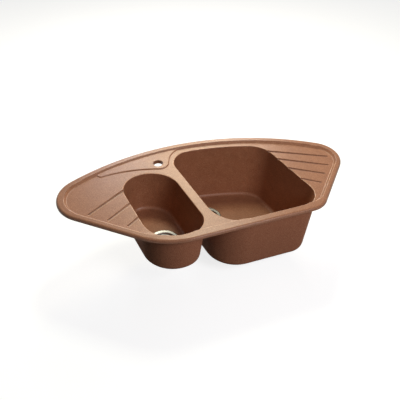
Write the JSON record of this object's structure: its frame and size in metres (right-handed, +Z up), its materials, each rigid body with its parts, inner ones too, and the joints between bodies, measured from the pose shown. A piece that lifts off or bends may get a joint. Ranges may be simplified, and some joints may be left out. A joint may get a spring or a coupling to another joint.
{
  "type": "corner kitchen sink",
  "caption": "Inset corner kitchen sink cast in terracotta stone composite, with a main bowl, a half bowl, grooved drainers, a tap ledge and basket strainer wastes.",
  "frame": {"origin": "axis of the tap hole at the level of the worktop, which is the underside of the rim", "axes": "+X along the long side from the left drainer to the right one, +Y to the rear into the corner of the room, +Z up"},
  "size_m": [1.0371, 0.5952, 0.308],
  "materials": {
    "stone_composite": "satin, finely speckled",
    "polished_steel": "polished",
    "satin_steel": "satin",
    "brass": "satin",
    "black_rubber": "matte",
    "white_plastic": "satin"
  },
  "bodies": {
    "sink": {"sink_body": "stone_composite", "big_strainer_cup": "polished_steel", "big_flange_seal": "black_rubber", "big_body_seal": "black_rubber", "big_waste_body": "white_plastic", "big_clamp_screw": "satin_steel", "big_screw_insert": "brass", "small_strainer_cup": "polished_steel", "small_flange_seal": "black_rubber", "small_body_seal": "black_rubber", "small_waste_body": "white_plastic", "small_clamp_screw": "satin_steel", "small_screw_insert": "brass"},
    "big_basket": {"big_basket": "polished_steel", "big_basket_knob": "polished_steel", "big_plug_spindle": "satin_steel", "big_stopper": "black_rubber"},
    "small_basket": {"small_basket": "polished_steel", "small_basket_knob": "polished_steel", "small_plug_spindle": "satin_steel", "small_stopper": "black_rubber"}
  },
  "joints": [
    {"name": "big_basket_lift", "type": "slide", "parent": "sink", "child": "big_basket", "axis": [0, 0, 1], "range_m": [0, 0.07]},
    {"name": "small_basket_lift", "type": "slide", "parent": "sink", "child": "small_basket", "axis": [0, 0, 1], "range_m": [0, 0.07]}
  ]
}
